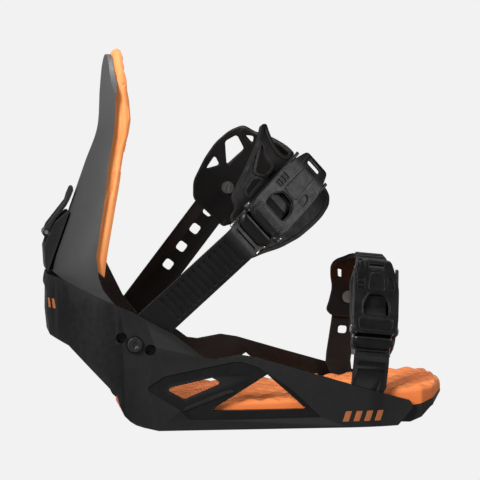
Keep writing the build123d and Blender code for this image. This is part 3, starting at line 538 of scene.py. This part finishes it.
def foot_top(i, j):
    x, y, edge = foot_place(i, j)
    rim = HEEL_RIM if x < THICK_FROM else TOE_RIM
    fade = min(1.0, max(0.0, (edge - rim * 0.5) / 2.5))
    height = from_table(FOOT_TOP, x) - LENS_H + LENS_H * fade * lens_bump(x, y)
    return x, y, height - rim * 0.75 * (1 - roll(edge, rim))


def foot_under(i, j):
    x, y, _ = foot_place(i, j)
    return x, y, from_table(FOOT_UNDER, x)


foot_bm = bmesh.new()
closed_sheet(foot_bm, 190, 76, foot_top, foot_under)
footbed = finish_piece("footbed_foam", foot_bm, ORANGE, "base")
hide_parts("footbed")

# ---------------------------------------------------------------- highback pad
# height, back apex, depth of the bowl, half-width
PAD_LEVELS = [
    (108, -150.3, 43.4, 38.8), (125, -148.5, 40, 40.1), (140, -143, 36, 41.5), (155, -137.6, 32, 42.6),
    (172, -131.4, 26, 43.5), (190, -124.8, 19, 44.1), (204, -119.2, 16, 44.1), (216, -115, 14, 44.1),
    (236, -112.9, 12, 43.6), (252, -111.4, 6.5, 43.1), (266, -109.3, 4, 42.6), (281, -106.6, 3, 42.1),
]
PAD_FRONT = [
    (108, -115), (111, -114.5), (130, -112), (146, -109.5), (165, -106.4), (190, -101.6), (207, -98.8),
    (215, -96.1), (226, -94.2), (240, -95.2), (256, -98.2), (268, -101), (277, -103),
]
PAD_LOW = [(-143, 150), (-127, 122), (-114.5, 111), (-90, 108)]
PAD_TOP_Z = 276.8
PAD_INSET = 3.9
PAD_THICK = 8.0
PAD_ROLL = 4.2
PAD_THINNING = (1.5, 30.0)  # how much thinner the middle is, and from how far in
TOP_ARC = 50.0
ARC_STEPS = 16
LOBE_PITCH = 6.4
LOBE_BLUNT = 0.6
GROOVE = 1.7  # depth between the lobes
GROOVE_FADE = 3.0
BACK_GROOVES = 15  # how far in from the side the back is grooved too
# pocket over the lean clamp's travel: half-width, top, and front face as x at a height and its slope
POCKET_HALF = 10.2
POCKET_TOP = 170.0
POCKET_FACE = (-140.6, 125.0, 0.364)


def pad_section(z):
    """Points of the pad's outer face at one height, near edge to far edge."""
    back, rx, half = (from_table([(row[0], row[k]) for row in PAD_LEVELS], z) for k in (1, 2, 3))
    front = from_table(PAD_FRONT, z)
    middle = back + rx + PAD_INSET
    turn = math.pi / 2
    if front < middle:
        turn = math.acos(min(1.0, (middle - front) / rx))
    arc = [turn * (k / ARC_STEPS - 1) for k in range(2 * ARC_STEPS + 1)]
    points = [Vector((middle - rx * math.cos(a), half * math.sin(a))) for a in arc]
    if front > middle:
        points = [Vector((front, -half)), *points, Vector((front, half))]
    return points


def pad_outer(z, u):
    """Point at a share u of the section, its inward direction and its distance from the sides."""
    points = pad_section(z)
    runs = [(b - a).length for a, b in zip(points, points[1:])]
    total = sum(runs)
    left = u * total
    for a, b, run in zip(points, points[1:], runs):
        if left <= run or b is points[-1]:
            direction = (b - a).normalized()
            spot = a + (b - a) * (left / run if run else 0)
            return spot, Vector((direction.y, -direction.x)), min(u, 1 - u) * total
        left -= run
    return points[-1], Vector((1, 0)), 0.0


def pad_limits(u):
    """Lowest and highest point of the pad on the line at a share u."""
    low, high = PAD_LEVELS[0][0], PAD_TOP_Z
    for _ in range(8):
        low = from_table(PAD_LOW, pad_outer(low, u)[0].x)
        high = PAD_TOP_Z - TOP_ARC + math.sqrt(TOP_ARC**2 - pad_outer(high, u)[0].y ** 2)
    return low, high


PAD_SPANS = {}


def pad_point(v, u, face):
    """Point of the pad: face +1 towards the leg, -1 towards the shell."""
    if u not in PAD_SPANS:
        PAD_SPANS[u] = pad_limits(u)
    low, high = PAD_SPANS[u]
    z = low + (high - low) * v
    spot, inward, side_edge = pad_outer(z, u)
    edge = min(side_edge, z - low, high - z)
    round_part = roll(edge, PAD_ROLL)
    thick = PAD_THICK - PAD_THINNING[0] * roll(side_edge, PAD_THINNING[1])
    flow = side_edge + 1.5 * math.sin(z / 13.0) + 0.7 * math.sin(z / 5.5)
    lobe = abs(math.sin(math.pi * flow / LOBE_PITCH)) ** LOBE_BLUNT
    groove = GROOVE * (1 - lobe) * min(1.0, edge / GROOVE_FADE)
    if face > 0:
        depth = thick * (0.5 + 0.5 * round_part) - groove
    else:
        depth = thick * (0.5 - 0.5 * round_part) + (groove if side_edge < BACK_GROOVES else 0.0)
        if abs(spot.y) < POCKET_HALF and z < POCKET_TOP:
            face_x, face_z, slope = POCKET_FACE
            pocket = (face_x + (z - face_z) * slope - spot.x) / inward.x
            depth = min(max(depth, pocket), thick * (0.5 + 0.5 * round_part))
    return (spot.x + inward.x * depth, spot.y + inward.y * depth, z)


pad_bm = bmesh.new()
closed_sheet(pad_bm, 110, 90, lambda v, u: pad_point(v, u, 1), lambda v, u: pad_point(v, u, -1))
highback_pad = finish_piece("highback_foam", pad_bm, PAD_ORANGE, "highback")
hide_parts("highback_pad")

# ---------------------------------------------------------------- strap pads
PAD_T = 3.6
SKIN = 0.6  # top of the thin plate
BAND_FROM = 0.5  # foot of what stands on it


def pad_mesh(outline, windows, place, bands, edges):
    """Thin plate with raised bands round its outline and its windows."""
    bm = bmesh.new()
    plate(bm, outline, windows, -PAD_T / 2, SKIN, place, edge=edges[0])
    plate(bm, outline, [inset(outline, bands[0])], BAND_FROM, PAD_T / 2, place, edge=edges[1])
    for window in windows:
        plate(bm, inset(window, -bands[1]), [window], BAND_FROM, PAD_T / 2, place, edge=edges[2])
    return bm


PAD_ARCH = Arch(
    [(-40.6, 90), (-40.6, 101.1), (-2.7, 171.5), (12, 185), (31, 175), (40.6, 146), (40.6, 103)], 15
)
ankle_outline = (
    PAD_ARCH.near([(104, 10), (111.7, 12), (114.5, 18.7), (121.9, 19.4), (125.2, 28.2), (142.5, 33.2)])
    + PAD_ARCH.near([(161, 39.3), (179, 47.5)])
    + PAD_ARCH.crown([(9.5, 44.5), (6.5, 41), (3, 33.7), (1, 25.6), (1.5, 18.5), (7, 16), (13, 17)])
    + PAD_ARCH.crown([(22, 31), (30, 43)])
    + PAD_ARCH.far([(171, 52.5), (160.5, 56), (147, 56), (133, 52.6), (114.7, 45.4), (107, 37)])
    + PAD_ARCH.far([(105.8, 34), (108, 4), (113, 2), (124, -8), (140, -19), (165, -24)])
    + PAD_ARCH.crown([(30, -22), (14, -21), (8, -28), (2, -32)])
    + PAD_ARCH.near([(165, -33.4), (156, -32.9), (142, -30.9), (127, -25.7), (115, -19), (104, -14)])
)
ankle_windows = [
    PAD_ARCH.near([(169, 38), (164, 28), (163, 20), (155, 20), (150.5, 27)]),
    PAD_ARCH.near([(146.5, 24.5), (150, 19.4), (134.5, 19.4), (136, 22.5)]),
    PAD_ARCH.far([(140, 49), (138, 41), (128, 46)]),
    PAD_ARCH.far([(153, 52), (163, 50), (160, 38), (142, 37.5)]),
    PAD_ARCH.far([(167, 46), (172, 41), (167, 37)]),
]
ankle_bm = pad_mesh(
    rounded(ankle_outline, 4), [rounded(window, 2.5) for window in ankle_windows],
    over_arch(ANKLE, PAD_ARCH), (3.2, 2.4), (0.7, 0.55, 0.5),
)
ankle_pad = finish_piece("ankle_pad_moulding", ankle_bm, RUBBER, "ankle_strap")
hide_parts("ankle_pad")

CAP_ARCH = Arch(
    [(-45.1, 15), (-45.1, 25.6), (-19.1, 84.1), (4, 103), (29, 98), (45.1, 78), (45.1, 46)], 13
)
cap_place = over_arch(TOE, CAP_ARCH)
cap_outline = (
    CAP_ARCH.near([(32, 12), (38, 14), (60, 16), (84, 16.5)])
    + CAP_ARCH.crown([(-10, 13), (0, 9.5), (14, 9.5), (26, 13)])
    + CAP_ARCH.far([(94, 19), (89, 21.5), (80, 19.5), (72, 16.6), (61, 18), (54, 19.7), (50, 15)])
    + CAP_ARCH.far([(50, -6), (72, -8), (90, -16)])
    + CAP_ARCH.crown([(26, -14), (8, -13.5), (-4, -15)])
    + CAP_ARCH.near([(93, -18.5), (84, -21), (60, -21), (40, -18), (32, -14)])
)
cap_window = CAP_ARCH.far([(88.5, 15.7), (88, 12.6), (80, 10.8), (80.8, 13.6)])
cap_bm = pad_mesh(
    rounded(cap_outline, 6), [rounded(cap_window, 0.8)], cap_place, (2.8, 1.6), (0.7, 0.5, 0.45)
)
# ribs across the crown of the cap
RIB_COUNT, RIB_START, RIB_PITCH, RIB_W, RIB_TOP = 7, -12.5, 3.7, 2.2, 3.0
for k in range(RIB_COUNT):
    y = RIB_START + RIB_PITCH * k
    rib = CAP_ARCH.crown([(y, -12.5), (y, 8.5), (y + RIB_W, 8.5), (y + RIB_W, -12.5)])
    plate(cap_bm, rounded(rib, 1.0), [], BAND_FROM, RIB_TOP, cap_place, edge=0.5)
toe_cap = finish_piece("toe_cap_moulding", cap_bm, RUBBER, "toe_strap")
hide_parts("toe_cap")

# ---------------------------------------------------------------- ratchet levers
LEVER_HALF = 17.0
LEVER_IN = 14.65
PLATE_T = 2.4
RECESS = 0.9  # depth of the slots and of the step round the window
RAISED = (PLATE_T - 0.3, PLATE_T + 0.5)  # foot and top of the land and the hood
RAISED_EDGE = 0.38
SLOT_COUNT, SLOT_FROM, SLOT_PITCH, SLOT_W = 3, 46, 3.8, 2


def ratchet_lever(prefix, buckle, length):
    """Lever with a raised land, recessed flanks, window and finger slot."""
    crest = [
        (12.6, 13.2), (15.4, 15.2), (24, 16.5), (44, 17.1), (length - 14, 16.6), (length - 1, 14.4),
        (length, 13.6),
    ]

    def on_crest(t, w, n):
        return buckle.point(t, w, from_table(crest, t) - PLATE_T + n)

    def cheek_at(side):
        def place(t, n, depth):
            return buckle.point(t, side * (LEVER_IN + depth), n)
        return place

    plan = rounded([
        (13.4, -15), (22, -LEVER_HALF), (length - 22, -LEVER_HALF), (length - 8, -13.4),
        (length, -11), (length, 11), (length - 8, 13.4), (length - 22, LEVER_HALF),
        (22, LEVER_HALF), (13.4, 15),
    ], 4)
    window = rounded([(26.6, -9.6), (36, -9.6), (43.4, -5), (43.4, 5), (36, 9.6), (26.6, 9.6)], 3.4)
    finger = rounded(
        [(length - 8.4, -6), (length - 4.4, -6), (length - 4.4, 6), (length - 8.4, 6)], 1.9
    )
    bm = bmesh.new()
    plate(bm, plan, [window, finger], 0.0, PLATE_T - RECESS, on_crest, edge=0.5)
    slots = []
    for k in range(SLOT_COUNT):
        low = SLOT_FROM + SLOT_PITCH * k
        high = SLOT_FROM + SLOT_W + SLOT_PITCH * k
        slots.append(rounded([(low, -14.4), (high, -14.4), (high, -9), (low, -9)], 0.9))
    lens = rounded([(47, 8.6), (57, 8.8), (55, 12.6), (47.5, 13.8)], 1.6)
    holes = [inset(window, -0.9), finger, *slots, lens]
    plate(bm, plan, holes, PLATE_T - 1.0, PLATE_T, on_crest, edge=0.35)
    land = rounded([(45.4, -6.8), (length - 11, -5), (length - 11, 5), (45.4, 6.8)], 3)
    plate(bm, land, [], *RAISED, on_crest, edge=RAISED_EDGE)
    hood = rounded([(14.6, -12.4), (24.8, -13.4), (24.8, 13.4), (14.6, 12.4)], 3)
    plate(bm, hood, [], *RAISED, on_crest, edge=RAISED_EDGE)
    cheek = rounded([
        (12.8, 9), (13.0, 13.4), (15.6, 14.9), (24, 15.8), (length - 8, 15.0), (length - 6, 12.8),
        (46, 11.6), (32, 8.8), (21, 6.8), (15.5, 6.9),
    ], 2.2)
    for side in (-1, 1):
        plate(bm, cheek, [], 0.0, LEVER_HALF - LEVER_IN, cheek_at(side), edge=0.5)
    lever = finish_piece(prefix + "_lever_moulding", bm, BUCKLE, prefix + "_lever")
    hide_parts(prefix + "_ratchet_lever")


ratchet_lever("ankle", ANKLE_BUCKLE, 85.0)
ratchet_lever("toe", TOE_BUCKLE, 71.0)


# ---------------------------------------------------------------- ladder covers
COVER_FROM, COVER_RUN = 3.5, 7.3  # where the cover starts up the buckle, and its length
NOSE_HALF, NOSE_TOP = 11.6, 7.8
WIDENS, RISES = 4.0, 3.6  # from the nose to the lever
COVER_UNDER = 6.2
CHEEK_IN, CHEEK_T = 14.6, 1.2


def ladder_cover(prefix, buckle):
    """Nose over the ladder's entry: narrow and low in front, as wide as the lever behind."""
    def line(i, j):
        half = NOSE_HALF + WIDENS * math.sin(math.pi / 2 * i)
        return COVER_FROM + COVER_RUN * i, half * (2 * j - 1), half

    def top(i, j):
        t, w, half = line(i, j)
        crest = NOSE_TOP + RISES * math.sin(math.pi / 2 * i)
        drop = 3.4 * (1 - roll(half - abs(w), 4.0)) + 1.2 * (1 - roll(COVER_RUN * i, 1.6))
        return buckle.point(t, w, crest - drop) / MM

    def under(i, j):
        t, w, _ = line(i, j)
        return buckle.point(t, w, COVER_UNDER) / MM

    bm = bmesh.new()
    closed_sheet(bm, 14, 40, top, under)
    cheek = rounded([(4.5, 2.0), (10.8, 2.0), (10.8, 7.4), (4.5, 6.8)], 1.4)
    for side in (-1, 1):
        def beside(t, n, depth, side=side):
            return buckle.point(t, side * (CHEEK_IN + depth), n)
        plate(bm, cheek, [], 0.0, CHEEK_T, beside, edge=0.4)
    cover = finish_piece(prefix + "_cover_moulding", bm, BUCKLE, prefix + "_strap")
    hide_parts(prefix + "_ladder_cover")


ladder_cover("ankle", ANKLE_BUCKLE)
ladder_cover("toe", TOE_BUCKLE)

# ---------------------------------------------------------------- generic printed marks
PRINT_LIFT = 0.02
PRINT_T = 0.14


def slanted_bar(low, high, left, width, slant):
    """Outline of a bar between two heights that leans by slant."""
    right = left + width
    return [(left, low), (right, low), (right + slant, high), (left + slant, high)]


def printed(name, node, body, bars, ray, put):
    """Slanted bars printed on a CAD surface, found by casting rays onto it."""
    target = NODES[node]
    bm = bmesh.new()

    def place(a, b, n):
        start = put(a, b)
        hit, spot, _, _ = target.ray_cast(start * MM, ray)
        if not hit:
            raise RuntimeError(name + " misses " + node)
        return spot - ray * ((PRINT_LIFT + n) * MM)

    for bar in bars:
        plate(bm, rounded(bar, 0.5), [], 0.0, PRINT_T, place, edge=0.05, cell=2.0)
    finish_piece(name, bm, MARK, body)


rail_bars = [slanted_bar(4.6, 12.2, 59 + 8 * k, 4.5, 2.5) for k in range(4)]
printed("rail_mark", "baseplate", "base", rail_bars, Vector((0, 1, 0)), lambda a, b: Vector((a, -80, b)))
heel_bars = [slanted_bar(88, 95, -26 + 6 * k, 3, 1.5) for k in range(2)]
printed("heel_mark", "baseplate", "base", heel_bars, Vector((1, 0, 0)), lambda a, b: Vector((-190, a, b)))

# ---------------------------------------------------------------- CAD nodes: finish and edges
FINISH = {
    BLACK: ["baseplate", "toe_ramp", "lean_block", "lean_lever", "mounting_disc"],
    SHELL: ["highback_shell"],
    RUBBER: ["ankle_adjusting_strap", "toe_adjusting_strap"],
    LADDER: ["ankle_ladder", "toe_ladder"],
    BUCKLE: ["ankle_release_lever", "toe_release_lever"],
    DARK_STEEL: ["ankle_bolts", "ankle_drive_pawl", "toe_drive_pawl"],
}
EDGES = {
    "baseplate": 0.8, "toe_ramp": 0.5, "lean_block": 0.6, "lean_lever": 0.5, "highback_shell": 0.9,
    "ankle_adjusting_strap": 0.7, "toe_adjusting_strap": 0.6, "ankle_ladder": 0.4, "toe_ladder": 0.4,
    "ankle_release_lever": 0.4, "toe_release_lever": 0.4, "ankle_bolts": 0.5,
}
painted = {node: material for material, nodes in FINISH.items() for node in nodes}
for name, node in NODES.items():
    paint(node, painted.get(name, STEEL))
for name, width in EDGES.items():
    soften(NODES[name], width)

# ---------------------------------------------------------------- camera, floor and light
AZIMUTH, ELEVATION = math.radians(-8.3), math.radians(6.1)
DISTANCE = 1.8
AIM = Vector((-0.0086, 0.0, 0.13345))
HALF_VIEW = 0.1795  # half the frame's width at the aim point
SENSOR = 36
back = Vector((
    math.sin(AZIMUTH) * math.cos(ELEVATION), -math.cos(AZIMUTH) * math.cos(ELEVATION), math.sin(ELEVATION)
))
camera = bpy.data.objects.new("camera", bpy.data.cameras.new("camera"))
camera.data.sensor_width = SENSOR
camera.data.lens = SENSOR / 2 * DISTANCE / HALF_VIEW
camera.location = AIM + back * DISTANCE
camera.rotation_euler = (-back).to_track_quat("-Z", "Y").to_euler()
bpy.context.scene.collection.objects.link(camera)
bpy.context.scene.camera = camera

PALE = 0.888  # how bright the floor and the sky look
# how bright they are as light
BOUNCE = 0.30
SKY = 0.015


def backdrop(tree, shader_out, bounce):
    """Pale to the camera, and a gentler source of light to everything else."""
    path = tree.nodes.new("ShaderNodeLightPath")
    strength = tree.nodes.new("ShaderNodeMapRange")
    strength.inputs["To Min"].default_value = bounce
    strength.inputs["To Max"].default_value = PALE
    tree.links.new(path.outputs["Is Camera Ray"], strength.inputs["Value"])
    tree.links.new(strength.outputs["Result"], shader_out.inputs["Strength"])


REACH = 400.0
FLOOR_Z = cad_box[0].z - 0.0002
floor_mesh = bpy.data.meshes.new("floor")
floor_corners = [(x * REACH, y * REACH, FLOOR_Z) for x, y in ((-1, -1), (1, -1), (1, 1), (-1, 1))]
floor_mesh.from_pydata(floor_corners, [], [(0, 1, 2, 3)])
floor = bpy.data.objects.new("floor", floor_mesh)
bpy.context.scene.collection.objects.link(floor)
floor_material = bpy.data.materials.new("pale_floor")
floor_material.use_nodes = True
tree = floor_material.node_tree
tree.nodes.clear()
glow = tree.nodes.new("ShaderNodeEmission")
backdrop(tree, glow, BOUNCE)
out = tree.nodes.new("ShaderNodeOutputMaterial")
tree.links.new(glow.outputs[0], out.inputs["Surface"])
paint(floor, floor_material)

world = bpy.data.worlds.new("studio")
world.use_nodes = True
sky = world.node_tree.nodes["Background"]
sky.inputs["Color"].default_value = (1, 1, 1, 1)
backdrop(world.node_tree, sky, SKY)
bpy.context.scene.world = world


def area_light(name, place, size, power):
    """Round soft light that faces the aim point."""
    light = bpy.data.lights.new(name, "AREA")
    light.shape = "DISK"
    light.size = size
    light.energy = power
    holder = bpy.data.objects.new(name, light)
    holder.location = place
    holder.rotation_euler = (holder.location - AIM).to_track_quat("Z", "Y").to_euler()
    bpy.context.scene.collection.objects.link(holder)


area_light("key", Vector((-1.3, -1.3, 1.2)), 1.0, 52)
area_light("fill", Vector((1.3, -1.0, 0.8)), 0.9, 9)
area_light("top", Vector((0.0, 0.5, 1.8)), 1.2, 18)

bpy.context.scene.view_settings.view_transform = "Standard"
